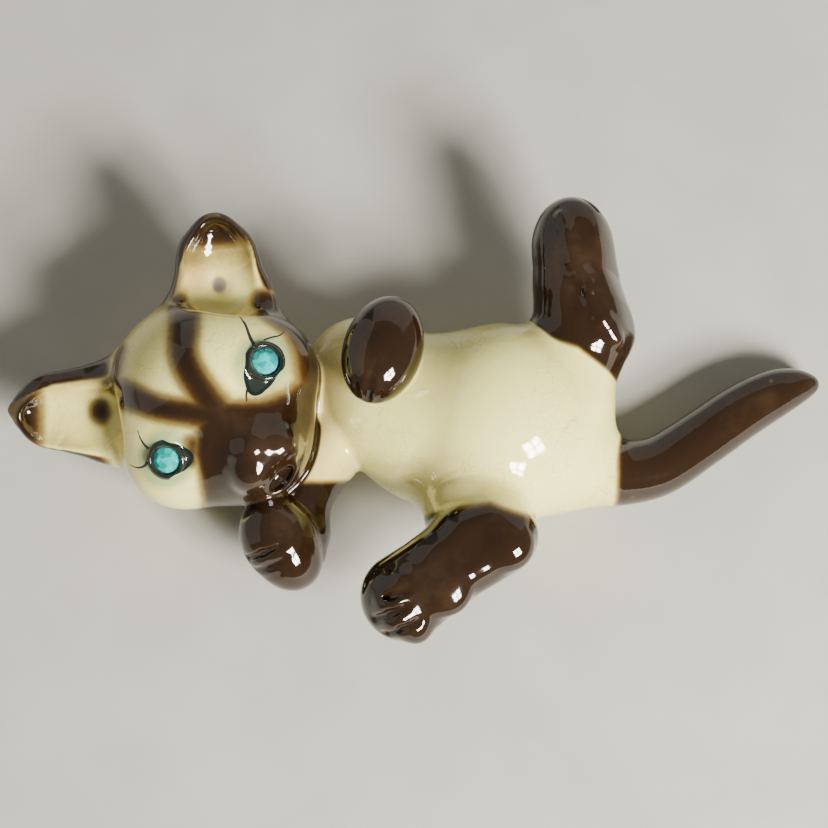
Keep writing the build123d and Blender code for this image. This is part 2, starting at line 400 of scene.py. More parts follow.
def head_form(q):
    """The head without its nose, mouth and sockets, in the face's frame."""
    m = q.copy()
    m[:, 0] = np.abs(m[:, 0])
    d = egg(q, (0, 4.4, -0.8), (25.0, 26.6, 24.4))
    d = blend(d, egg(m, (12.0, 0.0, 2.4), (16.8, 16.2, 16.4)), 4)
    d = blend(d, egg(q, (0, 8.0, 7.2), (18.0, 15.2, 17.6)), 6)
    d = blend(d, egg(q, (0, -12.4, 6.0), (15.6, 14.0, 13.4)), 6)
    d = blend(d, egg(q, (0, -15.0, 12.6), (10.4, 9.0, 10.6)), 5)
    d = blend(d, rope(q, [(0, 2, 18.2, 3.8), (0, -11, 18.6, 4.0)]), 6)
    return ears(q, d)


NOSE, LEFT_PUFF, RIGHT_PUFF, MOUTH = raised(
    [(-0.2, -12.9), (4.9, -17.0), (-4.2, -17.0), (-0.3, -23.0)], head_form
)


def socket(q, side, low, high, radius):
    """A cylinder about a stone's axis, from low to high along it."""
    out = unit(np.array(STONE_OUT) * (side, 1, 1))
    r = q - np.array(STONE_AT) * (side, 1, 1)
    h = r @ out
    across = np.linalg.norm(r - h[:, None] * out, axis=1)
    return np.maximum(across - radius, np.maximum(low - h, h - high)), across, h


def head(p):
    """The whole head, with its nose, mouth and eye sockets."""
    q = (p - HEAD) @ FACE
    d = head_form(q)
    d = blend(d, egg(q, (NOSE[0], NOSE[1], NOSE[2] - 3.2), (4.2, 3.4, 4.2)), 3.0)
    for u, v, n in (LEFT_PUFF, RIGHT_PUFF):
        d = blend(d, egg(q, (u, v, n - 4.0), (5.2, 4.6, 5.2)), 2.6)
    # The mouth is an open oval inside a rolled lip.
    lean = axes((1, 0.08, 0.1), (0, -0.55, 0.83))
    m = (q - MOUTH) @ lean
    ring = np.linalg.norm(m[:, :2] / np.array([4.4, 2.5]), axis=1)
    lip = np.sqrt(((ring - 1) * 3.0) ** 2 + (m[:, 2] + 0.1) ** 2) - 0.75
    d = blend(d, lip, 1.3)
    d = carve(d, egg(m, (0, 0, 0.4), (3.9, 2.0, 2.6)), 0.8)
    for side in (1, -1):
        _, across, h = socket(q, side, 0, 0, 1)
        hollow = egg(q, (side * 12.2, -1.4, 24.6), (5.2, 3.4, 4.2))
        d = carve(d, hollow, 2.6)
        seat = np.sqrt((across - 4.25) ** 2 + (h - 0.05) ** 2) - 0.6
        d = blend(d, seat, 1.0)
        d = np.maximum(d, -socket(q, side, -SOCKET_DEPTH, 12, SOCKET_RADIUS)[0])
    return d


LIMBS = {
    "left_foreleg": (left_foreleg, 2.0),
    "right_foreleg": (right_foreleg, 3.0),
    "left_hind_leg": (left_hind_leg, 5.0),
    "right_hind_leg": (right_hind_leg, 5.0),
    "tail": (tail, 7.0),
}
HEAD_FILLET = 1.8
VENT_AT = (13.0, 0.0)
VENT_RADIUS = 1.5
VENT_DEPTH = 3.7  # a blind pit: the skin has no hollow behind it


def grind(p, d):
    """Grinds the back flat on the table, and opens the firing vent in it."""
    d = -blend(-d, p[:, 2], 0.7)
    from_axis = np.hypot(p[:, 0] - VENT_AT[0], p[:, 1] - VENT_AT[1])
    vent = np.maximum(from_axis - VENT_RADIUS, p[:, 2] - VENT_DEPTH)
    return np.maximum(d, -vent)


def skin(p):
    """The whole figurine's field."""
    d = torso(p)
    for name in ("left_foreleg", "left_hind_leg", "right_hind_leg", "tail"):
        form, fillet = LIMBS[name]
        d = blend(d, form(p), fillet)
    d = blend(d, head(p), HEAD_FILLET)
    d = blend(d, right_foreleg(p), LIMBS["right_foreleg"][1] * 0.5)
    return grind(p, d)


def in_parts(field, p, size=200000):
    """Works a field out over many points, in parts that fit the cache."""
    return np.concatenate([field(p[i : i + size]) for i in range(0, len(p), size)])


# ---------------------------------------------------------------- meshing
def sample(field, low, high, step):
    """The field on a grid, worked out finely only near the surface.

    A block's centre stands for its samples, which are at most 2.6 steps away. A block whose centre reads more
    than SURE steps is taken not to touch the surface. SURE is an estimate, with room for a field that rises
    faster than distance.
    """
    n = np.ceil((high - low) / (step * COARSE)).astype(int) + 1
    grid = [low[a] + (np.arange(n[a]) * COARSE + (COARSE - 1) / 2) * step for a in range(3)]
    coarse = np.stack(np.meshgrid(*grid, indexing="ij"), -1).reshape(-1, 3)
    rough = in_parts(field, coarse).reshape(n)
    full = np.repeat(np.repeat(np.repeat(rough, COARSE, 0), COARSE, 1), COARSE, 2)
    close = np.abs(full) < step * SURE
    full[close] = in_parts(field, low + np.argwhere(close) * step)
    return full


def surface_nets(values, low, step):
    """A quad mesh of the zero surface, one vertex for each cell that it passes through."""
    inside = values < 0
    shape = np.array(values.shape) - 1
    total = np.zeros(tuple(shape) + (3,), np.float32)
    count = np.zeros(tuple(shape), np.int16)
    crossings = []
    for axis in range(3):
        a = [slice(None)] * 3
        b = [slice(None)] * 3
        a[axis], b[axis] = slice(None, -1), slice(1, None)
        cross = inside[tuple(a)] != inside[tuple(b)]
        at = np.argwhere(cross)
        end = at.copy()
        end[:, axis] += 1
        fa, fb = values[tuple(at.T)], values[tuple(end.T)]
        point = at.astype(np.float32)
        point[:, axis] += fa / (fa - fb)
        other = [o for o in range(3) if o != axis]
        for i in (0, 1):
            for j in (0, 1):
                cell = at.copy()
                cell[:, other[0]] -= i
                cell[:, other[1]] -= j
                good = ((cell >= 0) & (cell < shape)).all(1)
                np.add.at(total, tuple(cell[good].T), point[good])
                np.add.at(count, tuple(cell[good].T), 1)
        crossings.append((at, fa < 0, other))
    number = np.full(tuple(shape), -1, np.int64)
    used = count > 0
    number[used] = np.arange(used.sum())
    verts = low + total[used] / count[used][:, None] * step
    quads = []
    for axis, (at, leaving, other) in enumerate(crossings):
        ring = []
        for i, j in ((0, 0), (1, 0), (1, 1), (0, 1)):
            cell = at.copy()
            cell[:, other[0]] -= i
            cell[:, other[1]] -= j
            ring.append(number[tuple(cell.T)])
        quad = np.stack(ring, 1)
        flip = leaving if axis == 1 else ~leaving
        quads.append(np.where(flip[:, None], quad[:, ::-1], quad))
    return verts.astype(float), np.concatenate(quads)


def slope(field, p, h=0.06):
    """The field's gradient."""
    parts = []
    for axis in range(3):
        step = np.zeros(3)
        step[axis] = h
        parts.append((in_parts(field, p + step) - in_parts(field, p - step)) / (2 * h))
    return np.stack(parts, 1)


def settle(field, p, rounds):
    """Moves points onto the field's surface, and returns them with their normals."""
    for _ in range(rounds):
        g = slope(field, p)
        size = (g * g).sum(1)
        shift = in_parts(field, p) / np.maximum(size, 0.05)
        p = p - g * np.clip(shift, -STEP, STEP)[:, None]
    g = slope(field, p)
    return p, g / (np.linalg.norm(g, axis=1)[:, None] + 1e-9)


def cut(verts, tris, side):
    """Cuts triangles where side changes sign. Returns the vertices and the triangles on each side."""
    s = side[tris]
    low = (s < 0).sum(1)
    kept_low, kept_high = tris[low == 3], tris[low == 0]
    mixed = tris[(low == 1) | (low == 2)]
    lone_is_low = (side[mixed] < 0).sum(1) == 1
    is_lone = (side[mixed] < 0) == lone_is_low[:, None]
    first = is_lone.argmax(1)
    rows = np.arange(len(mixed))
    a, b, c = (mixed[rows, (first + k) % 3] for k in range(3))
    pairs = np.concatenate([np.stack([a, b], 1), np.stack([a, c], 1)])
    keys, where = np.unique(np.sort(pairs, 1), axis=0, return_inverse=True)
    where = where.reshape(-1)
    s0, s1 = side[keys[:, 0]], side[keys[:, 1]]
    t = (s0 / (s0 - s1))[:, None]
    added = verts[keys[:, 0]] * (1 - t) + verts[keys[:, 1]] * t
    p, q = len(verts) + where[: len(a)], len(verts) + where[len(a) :]
    tip = np.stack([a, p, q], 1)
    rest = np.concatenate([np.stack([p, b, c], 1), np.stack([p, c, q], 1)])
    twice = np.concatenate([lone_is_low, lone_is_low])
    low_tris = np.concatenate([kept_low, tip[lone_is_low], rest[~twice]])
    high_tris = np.concatenate([kept_high, tip[~lone_is_low], rest[twice]])
    return np.vstack([verts, added]), low_tris, high_tris


def open_loops(tris):
    """The boundary loops of a set of triangles, each as vertex numbers in order."""
    edges = np.concatenate([tris[:, [0, 1]], tris[:, [1, 2]], tris[:, [2, 0]]])
    keys, counts = np.unique(np.sort(edges, 1), axis=0, return_counts=True)
    border = {tuple(k) for k in keys[counts == 1]}
    after = {int(a): int(b) for a, b in edges if (min(a, b), max(a, b)) in border}
    loops = []
    while after:
        start, at = after.popitem()
        loop = [start]
        while at in after and at != start:
            loop.append(at)
            at = after.pop(at)
        loops.append(loop)
    return loops


def cap(verts, tris, normals):
    """Closes a piece with a fan over each open loop. The hub is sunk, so that it stays under the skin."""
    for loop in open_loops(tris):
        centre = verts[loop].mean(0) - normals[loop].mean(0) * SUNK
        verts = np.vstack([verts, centre])
        hub = len(verts) - 1
        nxt = loop[1:] + loop[:1]
        tris = np.vstack([tris, np.stack([nxt, loop, np.full(len(loop), hub)], 1)])
    return verts, tris


# ---------------------------------------------------------------- paint
def soft(x, low, high):
    """A smooth step from 0 at low to 1 at high."""
    t = np.clip((x - low) / (high - low), 0, 1)
    return t * t * (3 - 2 * t)


def stroke(q, points, widths):
    """How far inside a soft stroke on the face's plane each point is: 1 on its line, 0 a width away."""
    pts = np.array(points, float)
    best = np.zeros(len(q))
    for a, b, wa, wb in zip(pts[:-1], pts[1:], widths[:-1], widths[1:]):
        ab = b - a
        t = np.clip(((q[:, :2] - a) @ ab) / (ab @ ab), 0, 1)
        away = np.linalg.norm(q[:, :2] - a - t[:, None] * ab, axis=1)
        best = np.maximum(best, 1 - away / (wa + (wb - wa) * t))
    return np.clip(best, 0, 1)


def brush(q, stations):
    """A stroke along a smooth curve through stations of (u, v, width)."""
    route = np.array(smooth_route(stations))
    return stroke(q, route[:, :2], route[:, 2])


# The mask's upper edge, as across and up in the face's plane.
MASK_EDGE = (
    (-28, -18.7, -14, -10.6, -4.3, 0, 3, 6, 10, 16, 22, 28),
    (-20, -14, -8.5, -3.5, 1.5, 2, 0.5, -3, -6.5, -9, -9, -4),
)
# Where a hind leg's brown starts, as across and up in the leaning frame.
LEFT_DIP = ((0, 4.8, 11.3, 18.3, 26.2, 30), (36, 33.5, 26.9, 24.7, 18.9, 15))
RIGHT_DIP = ((-24, -21.3, -17.7, -13.7, -4.5, 7.3, 14), (-18.0, -19.6, -17.2, -16.0, -14.6, -18.6, -25))
RIGHT_ARM_DIP = -9.6


def face_paint(q):
    """The face's brown: the airbrushed mask, two stripes and left cheek, and painted shade by the right ear's
    root and the right eye's inner corner.
    """
    u, v, n = q.T
    mask = soft(np.interp(u, *MASK_EDGE) - v, -5.0, 4.4) * soft(n, -16, -8)
    front = soft(n, -2, 6)
    left_stripe = brush(q, [(0, -2, 9.0), (1.1, 4.7, 7.8), (3.8, 14.6, 7.2), (9, 20.4, 7.0), (13, 26.5, 6.6)])
    right_stripe = brush(q, [(0, -2, 9.0), (-4.7, 4.3, 6.8), (-9.2, 10.6, 6.2), (-15, 22.7, 6.4)])
    left_cheek = stroke(q, [(27.5, 12), (30, 1), (28, -6), (23, -13)], [6.0, 8.0, 9.5, 10.0])
    # Painted shade: brown in the crease along the right ear's root and in the hollow by the right eye's inner
    # corner.
    ear_root_shade = stroke(q, [(-7, 28.2), (-12, 25), (-16, 20), (-21, 20)], [4.0, 4.5, 4.5, 4.0])
    inner_eye_shade = stroke(q, [(-9.5, -1.5), (-13, -4.5)], [5.0, 3.5])
    return np.maximum.reduce(
        [
            mask,
            soft(left_stripe, 0, 1.0) * front * 0.95,
            soft(right_stripe, 0, 1.0) * front * 0.95,
            soft(left_cheek, 0, 0.9) * soft(n, -12, -4) * 0.95,
            soft(ear_root_shade, 0, 1) * 0.5 * soft(n, -3, 4),
            soft(inner_eye_shade, 0, 1) * 0.65 * front,
        ]
    )


EAR_EDGE = {1: (0.88, 1.02), -1: (0.60, 0.76)}  # where the brown of an ear's back starts on its inner side
EAR_SHADE = {1: 0.38, -1: 0.16}  # how much painted shade darkens an ear's hollow, in brown


def ear_paint(q, side):
    """One ear's brown and ochre, with painted shade in its hollow and at its ear hole."""
    length, turned = ear_frame(side)
    s = (q * np.array([side, 1, 1]) - EAR_ROOT) @ turned
    along, across, out = s.T
    in_ear = soft(along, 3, 9)
    in_scoop = soft(1.4 - ear_scoop(s, length, side), 0, 1.0)
    width = np.interp(along, [0, 3.7, length - 11.5, length - 6.0, length], [14.6, 13.8, 9.8, 6.2, 2.0])
    edge = np.where(across > 0, soft(across / width, *EAR_EDGE[side]), soft(-across / width, 0.84, 0.98))
    back = (1 - in_scoop) * np.maximum(soft(-out, -1.2, 1.0), edge) * in_ear
    tip = soft(along, length - 13.0, length - 4.0) * (0.6 + 0.4 * in_scoop)
    inner_wall = soft(across, 1.0, 6.5)
    # Painted shade: brown in the hollow, deeper towards the tip and on the inner wall.
    shaded = in_scoop * in_ear * soft(along, 9, 18) * EAR_SHADE[side] * (1 + 0.25 * inner_wall)
    ochre = in_ear * (0.45 + 0.55 * inner_wall) * soft(along, 4, 12) * (1.0 if side > 0 else 0.6)
    ochre = np.maximum(ochre, in_ear * (1 - in_scoop) * 0.62)
    # Painted shade at the ear hole: grey and brown in the left ear's carved dimple, brown alone on the right
    # ear, which has no dimple carved.
    if side > 0:
        away = np.linalg.norm((s - np.array([9.2, 0.2, -1.6])) / np.array([2.6, 2.3, 3.4]), axis=1)
        pit = soft(-away, -1.6, -0.4)
        hole_shade = pit * 0.3
    else:
        away = np.linalg.norm((s - np.array([8.2, 0.6, -1.6])) / np.array([3.4, 4.4, 4.0]), axis=1)
        pit = np.zeros(len(s))
        hole_shade = soft(-away, -1.5, -0.2) * 0.85
    return np.maximum.reduce([back * 0.95, tip, shaded, hole_shade]), ochre, pit


def leg_paint(p, on_head):
    """The brown of the dipped legs and tail. Each has its own line where it starts. Also ochre painted shade
    round every limb's root.
    """
    across, up, _ = (p @ LEAN).T
    dips = {
        "left_foreleg": soft(torso(p) - left_foreleg(p), -0.4, 0.6) * (1 - on_head),
        "right_foreleg": soft(RIGHT_ARM_DIP - up, -1.6, 1.6) * (head(p) > 0.3),
        "left_hind_leg": soft(up - np.interp(across, *LEFT_DIP), -1.4, 1.4),
        "right_hind_leg": soft(np.interp(across, *RIGHT_DIP) - up, -2.6, 1.6),
        "tail": soft(p[:, 0], 27.2, 31.0),
    }
    brown = np.zeros(len(p))
    limb_root_shade = np.zeros(len(p))
    for name, dip in dips.items():
        off = LIMBS[name][0](p)
        brown = np.maximum(brown, dip * soft(1.8 - off, 0, 1.2))
        # Painted shade: ochre on the body within 5 mm of each limb, deepest next to it.
        limb_root_shade = np.maximum(limb_root_shade, soft(5.0 - off, 0, 5.0) * 0.30)
    return brown, limb_root_shade


def paint(p):
    """The glaze's paint and painted shade at each point: how brown, how ochre, how green, and the eye patch's
    edge in mm.
    """
    q = (p - HEAD) @ FACE
    u, v, n = q.T
    from_head = head(p)
    on_head = soft(torso(p) - from_head, -0.8, 0.8) * soft(1.8 - from_head, 0, 1.0)
    brown = face_paint(q)
    # Painted shade: ochre deepening towards the crown.
    ochre = 0.34 * soft(v, 13, 26)
    pit = np.zeros(len(p))
    for side in (1, -1):
        ear_brown, ear_ochre, ear_pit = ear_paint(q, side)
        brown = np.maximum(brown, ear_brown)
        ochre = np.maximum(ochre, ear_ochre)
        pit = np.maximum(pit, ear_pit)
    leg_brown, limb_root_shade = leg_paint(p, on_head)
    brown = np.maximum(brown * on_head, leg_brown)
    # Painted shade: ochre deepening towards the neck on the torso, besides the limb roots' painted shade.
    ochre = np.maximum.reduce([ochre * on_head, limb_root_shade, 0.55 * soft(-p[:, 0], 30, 46) * (1 - on_head)])

    teal = np.zeros(len(p))
    sharp = np.full(len(p), 50.0)
    for side in (1, -1):
        eye = np.array([(u * side - 17.0), v - 0.4]).T
        away = np.linalg.norm(eye / np.array([7.6, 6.6]), axis=1)
        teal = np.maximum(teal, soft(-away, -1.45, -0.75) * soft(n, 0, 6))
        sharp = np.minimum(sharp, np.where(n > 4, eye_patch(u * side, v, side), 50.0))
    return {"brown": brown, "ochre": ochre, "teal": teal * on_head, "eye_edge": sharp, "pit": pit * on_head}


EYE_PATCH = {
    1: (((17.3, 0.3), (13.6, -1.4), 4.9, 3.4), ((13.6, -1.4), (11.2, -2.6), 3.4, 2.1)),
    -1: (((17.3, 0.3), (15.2, -1.4), 4.9, 3.4), ((15.2, -1.4), (13.2, -3.0), 3.4, 1.6)),
}


def eye_patch(u, v, side):
    """Signed distance, in mm, to the painted almond round a stone, in the mirrored face."""
    w = np.stack([u, v], 1)
    best = np.full(len(w), 50.0)
    for a, b, ra, rb in EYE_PATCH[side]:
        a, b = np.array(a), np.array(b)
        t = np.clip(((w - a) @ (b - a)) / ((b - a) @ (b - a)), 0, 1)
        d = np.linalg.norm(w - a - t[:, None] * (b - a), axis=1) - (ra + (rb - ra) * t)
        best = blend(best, d, 1.2)
    return best


# ---------------------------------------------------------------- objects
def new_mesh(name, verts, faces, normals=None, marks=None):
    """A mesh object from points in mm, with its own normals and painted attributes."""
    mesh = bpy.data.meshes.new(name)
    mesh.from_pydata((verts * MM).tolist(), [], faces.tolist() if isinstance(faces, np.ndarray) else faces)
    mesh.validate()
    mesh.shade_smooth()
    for key, values in (marks or {}).items():
        layer = mesh.attributes.new(key, "FLOAT", "POINT")
        layer.data.foreach_set("value", np.asarray(values, np.float32))
    if normals is not None:
        mesh.normals_split_custom_set_from_vertices(normals.tolist())
    made = bpy.data.objects.new(name, mesh)
    bpy.context.collection.objects.link(made)
    return made


def build_skin():
    """Meshes the figurine's skin and cuts it into its castings."""
    low = np.array(cad_low) / MM - ROOM
    high = np.array(cad_high) / MM + ROOM
    values = sample(skin, low, high, STEP)
    for axis in range(3):
        ends = np.take(values, (0, -1), axis)
        if (ends < 0).any():
            raise RuntimeError("the skin reaches the edge of its sampling box, and would be clipped")
    verts, quads = surface_nets(values, low, STEP)
    verts, _ = settle(skin, verts, 2)
    tris = np.concatenate([quads[:, [0, 1, 2]], quads[:, [0, 2, 3]]])
    pieces = {}
    for name in list(LIMBS) + ["head"]:
        is_head = name == "head"
        form = head if is_head else LIMBS[name][0]
        body = torso if is_head else body_and_head
        side = in_parts(form, verts) - in_parts(body, verts)
        if is_head:
            side = np.where(verts[:, 0] < NECK_END, side, OUTSIDE)
        side[np.abs(side) < TINY] = TINY
        verts, mine, tris = cut(verts, tris, side)
        pieces[name] = mine
    pieces["torso"] = tris
    made = {}
    for name, mine in pieces.items():
        used, mine = np.unique(mine, return_inverse=True)
        mine = mine.reshape(-1, 3)
        own, normals = settle(skin, verts[used], 0)
        own, mine = cap(own, mine, normals)
        normals = np.vstack([normals, np.tile([0.0, 0.0, 1.0], (len(own) - len(normals), 1))])
        made[name] = new_mesh(name + "_skin", own, mine, normals, paint(own))
    return made


def body_and_head(p):
    """The torso and head together, for finding where a limb starts."""
    return np.minimum(torso(p), head(p))


def brush_line(name, points, widths, height=0.12):
    """A brushed enamel line on the face, as a low crowned ribbon. Points are (u, v) in the face's frame."""
    samples = np.array(smooth_route([(x, y, w, 0) for (x, y), w in zip(points, widths)], 8))
    centre = samples[:, :2]
    tangent = np.gradient(centre, axis=0)
    tangent /= np.linalg.norm(tangent, axis=1)[:, None]
    side = np.stack([-tangent[:, 1], tangent[:, 0]], 1)
    across = (-1.0, -0.6, 0.0, 0.6, 1.0)
    rows = []
    for share in across:
        line = centre + side * (share * samples[:, 2:3] / 2)
        rows.append(raised(line, face_skin) + np.array([0, 0, height * (1 - share * share) - 0.03]))
    verts = np.concatenate(rows)
    count = len(samples)
    faces = []
    for r in range(len(across) - 1):
        for i in range(count - 1):
            faces.append((r * count + i, r * count + i + 1, (r + 1) * count + i + 1, (r + 1) * count + i))
    under = len(verts)
    below = np.concatenate([rows[0], rows[-1]]) - np.array([0, 0, 0.25])
    verts = np.vstack([verts, below])
    last = (len(across) - 1) * count
    for i in range(count - 1):
        faces.append((i + 1, i, under + i, under + i + 1))
        faces.append((last + i, last + i + 1, under + count + i + 1, under + count + i))
        faces.append((under + i, under + count + i, under + count + i + 1, under + i + 1))
    start = tuple(r * count for r in range(len(across)))
    end = tuple(r + count - 1 for r in reversed(start))
    faces.append(start + (under + count, under))
    faces.append(end + (under + count - 1, under + 2 * count - 1))
    return new_mesh(name, HEAD + verts @ FACE.T, faces)


def face_skin(q):
    """The head's field in the face's frame."""
    return head(HEAD + q @ FACE.T)


# ---------------------------------------------------------------- materials
class Graph:
    """A material's node graph, with short ways to add the nodes that these materials use."""

    def __init__(self, name):
        self.material = bpy.data.materials.new(name)
        self.material.use_nodes = True
        self.tree = self.material.node_tree
        self.bsdf = self.tree.nodes["Principled BSDF"]

    def node(self, kind, **settings):
        made = self.tree.nodes.new(kind)
        for key, value in settings.items():
            setattr(made, key, value)
        return made

    def feed(self, socket, value):
        if isinstance(value, bpy.types.NodeSocket):
            self.tree.links.new(value, socket)
        else:
            socket.default_value = value

    def math(self, operation, *values):
        made = self.node("ShaderNodeMath", operation=operation)
        for socket, value in zip(made.inputs, values):
            self.feed(socket, value)
        return made.outputs[0]

    def ramp(self, value, low, high, to_low=0.0, to_high=1.0):
        made = self.node("ShaderNodeMapRange", interpolation_type="SMOOTHSTEP")
        for socket, item in zip(made.inputs, (value, low, high, to_low, to_high)):
            self.feed(socket, item)
        return made.outputs[0]

    def mix(self, share, a, b, kind="MIX"):
        made = self.node("ShaderNodeMix", data_type="RGBA", blend_type=kind)
        self.feed(made.inputs[0], share)
        self.feed(made.inputs[6], a)
        self.feed(made.inputs[7], b)
        return made.outputs[2]

    def mark(self, name):
        return self.node("ShaderNodeAttribute", attribute_name=name).outputs["Fac"]

    def noise(self, scale, detail=3.0, rough=0.5):
        made = self.node("ShaderNodeTexNoise")
        self.feed(made.inputs["Vector"], self.place())
        made.inputs["Scale"].default_value = scale
        made.inputs["Detail"].default_value = detail
        made.inputs["Roughness"].default_value = rough
        return made.outputs[0]

    def place(self):
        return self.node("ShaderNodeTexCoord").outputs["Object"]

    def cells(self, scale, feature, warp=None):
        made = self.node("ShaderNodeTexVoronoi", feature=feature)
        self.feed(made.inputs["Vector"], warp or self.place())
        made.inputs["Scale"].default_value = scale
        return made.outputs["Distance"]

    def bump(self, height, strength, distance, under=None):
        made = self.node("ShaderNodeBump")
        made.inputs["Strength"].default_value = strength
        made.inputs["Distance"].default_value = distance
        self.feed(made.inputs["Height"], height)
        if under:
            self.feed(made.inputs["Normal"], under)
        return made.outputs[0]

    def set(self, **values):
        for key, value in values.items():
            self.feed(self.bsdf.inputs[key.replace("_", " ")], value)


# Linear colours.
CREAM = (0.90, 0.84, 0.29, 1)
CREAM_DEEP = (0.68, 0.57, 0.12, 1)
UMBER = (0.016, 0.0072, 0.0025, 1)
SIENNA = (0.062, 0.030, 0.007, 1)
TAN = (0.215, 0.150, 0.040, 1)
ORANGE = (0.68, 0.44, 0.15, 1)
TEAL = (0.22, 0.33, 0.16, 1)
INK = (0.006, 0.011, 0.010, 1)
OLIVE = (0.017, 0.022, 0.016, 1)
UMBER_THIN = (0.032, 0.017, 0.008, 1)
PIT_SHADE = (0.16, 0.13, 0.15, 1)
CRAZE_STAIN = (0.34, 0.24, 0.08, 1)
SPECK_BROWN = (0.06, 0.04, 0.02, 1)
BISQUE = (0.72, 0.68, 0.60, 1)


def crazing(g):
    """Two sizes of fine cracks, where the paint is thin and away from the eyes."""
    bent = g.node("ShaderNodeVectorMath", operation="ADD")
    g.feed(bent.inputs[0], g.place())
    wave = g.node("ShaderNodeTexNoise")
    g.feed(wave.inputs["Vector"], g.place())
    wave.inputs["Scale"].default_value = 160.0
    less = g.node("ShaderNodeVectorMath", operation="SCALE")
    g.feed(less.inputs[0], wave.outputs["Color"])
    less.inputs["Scale"].default_value = 0.0022
    g.feed(bent.inputs[1], less.outputs[0])
    wide = g.ramp(g.cells(250.0, "DISTANCE_TO_EDGE", bent.outputs[0]), 0.0, 0.022, 1.0, 0.0)
    fine = g.ramp(g.cells(520.0, "DISTANCE_TO_EDGE", bent.outputs[0]), 0.0, 0.03, 0.55, 0.0)
    crack = g.math("MULTIPLY", g.math("MAXIMUM", wide, fine), g.ramp(g.noise(60.0, 1.0), 0.40, 0.62))
    crack = g.math("MULTIPLY", crack, g.ramp(g.mark("brown"), 0.0, 0.4, 1.0, 0.0))
    return g.math("MULTIPLY", crack, g.ramp(g.mark("eye_edge"), 0.0, 0.6))


def glaze(name):
    """Airbrushed underglaze paint, with painted shade mixed in, under a clear gloss glaze that has crazed."""
    g = Graph(name)
    cloud = g.noise(28.0, 3.0)
    grain = g.noise(620.0, 2.0, 0.6)
    cream = g.mix(g.ramp(cloud, 0.35, 0.75, 0.0, 0.34), CREAM, CREAM_DEEP)
    # The ochre mark carries ochre paint and ochre painted shade.
    ochre = g.math("ADD", g.mark("ochre"), g.math("MULTIPLY", g.math("SUBTRACT", grain, 0.5), 0.25))
    colour = g.mix(g.ramp(ochre, 0.05, 1.0, 0.0, 0.85), cream, ORANGE)
    teal = g.math("ADD", g.mark("teal"), g.math("MULTIPLY", g.math("SUBTRACT", cloud, 0.5), 0.6))
    colour = g.mix(g.ramp(teal, 0.1, 1.1, 0.0, 0.8), colour, TEAL)
    # The airbrush leaves fine dots at its edge, and thin brown is redder and lighter than thick. The brown
    # mark carries brown painted shade too.
    spray = g.math("ADD", g.mark("brown"), g.math("MULTIPLY", g.math("SUBTRACT", grain, 0.5), 0.10))
    spray = g.math("ADD", spray, g.math("MULTIPLY", g.math("SUBTRACT", cloud, 0.5), 0.16))
    colour = g.mix(g.ramp(spray, 0.02, 0.46, 0.0, 0.92), colour, TAN)
    colour = g.mix(g.ramp(spray, 0.26, 0.76), colour, SIENNA)
    umber = g.mix(g.ramp(g.noise(75.0, 4.0, 0.6), 0.48, 0.72, 0.0, 0.7), UMBER, UMBER_THIN)
    colour = g.mix(g.ramp(spray, 0.56, 0.95), colour, umber)
    wobble = g.math("MULTIPLY", g.math("SUBTRACT", g.noise(260.0), 0.5), 0.35)
    edge = g.math("ADD", g.mark("eye_edge"), wobble)
    colour = g.mix(g.ramp(edge, 0.02, 0.16, 1.0, 0.0), colour, OLIVE)
    outline = g.math("MULTIPLY", g.ramp(edge, -1.1, -0.55), g.ramp(edge, 0.02, 0.18, 1.0, 0.0))
    colour = g.mix(outline, colour, INK)
    # Painted shade in the left ear's dimple, in grey.
    pit = g.mark("pit")
    colour = g.mix(g.ramp(pit, 0.55, 1.0, 0.0, 0.75), colour, PIT_SHADE)
    crack = crazing(g)
    colour = g.mix(g.math("MULTIPLY", crack, 0.48), colour, CRAZE_STAIN)
    speck = g.ramp(g.cells(95.0, "F1"), 0.045, 0.075, 0.85, 0.0)
    speck = g.math("MULTIPLY", speck, g.ramp(g.noise(45.0, 0.0), 0.60, 0.64))
    colour = g.mix(speck, colour, SPECK_BROWN)
    # The ground flats are bare bisque.
    ground = g.mark("ground")
    colour = g.mix(ground, colour, BISQUE)
    rough = g.ramp(g.noise(90.0, 2.0), 0.3, 0.7, 0.045, 0.10)
    g.set(Base_Color=colour, Roughness=g.math("MAXIMUM", rough, g.math("MULTIPLY", ground, 0.85)))
    g.set(IOR=1.52, Coat_Weight=0.35, Coat_Roughness=0.03)
    peel = g.bump(g.noise(230.0, 1.0), 0.12, 0.0006)
    g.set(Normal=g.bump(crack, 0.10, 0.0001, peel))
    return g.material


def enamel():
    """The black of the lashes and eye lines."""
    g = Graph("black_enamel")
    thin = g.noise(300.0, 2.0)
    g.set(Base_Color=g.mix(g.ramp(thin, 0.35, 0.75), INK, (0.035, 0.03, 0.022, 1)))
    g.set(Roughness=g.ramp(thin, 0.3, 0.7, 0.12, 0.26), IOR=1.5)
    g.set(Normal=g.bump(thin, 0.15, 0.0001))
    return g.material


def stone_glass():
    """Turquoise glass, bright from the foil behind it, with darker chips painted in as shade on its facets."""
    g = Graph("turquoise_stone")
    streak = g.noise(420.0, 2.0)
    # Painted shade: darker Voronoi chips stand for facets that catch less light.
    facet_shade = g.node("ShaderNodeTexVoronoi")
    g.feed(facet_shade.inputs["Vector"], g.place())
    facet_shade.inputs["Scale"].default_value = 520.0
    tint = g.mix(g.ramp(streak, 0.3, 0.7), (0.0, 0.36, 0.345, 1), (0.0, 0.56, 0.54, 1))
    tint = g.mix(g.ramp(facet_shade.outputs["Color"], 0.50, 0.62, 0.0, 0.6), tint, (0.0, 0.13, 0.16, 1))
    g.set(Base_Color=tint, Roughness=g.ramp(streak, 0.3, 0.7, 0.02, 0.05), IOR=1.56)
    return g.material


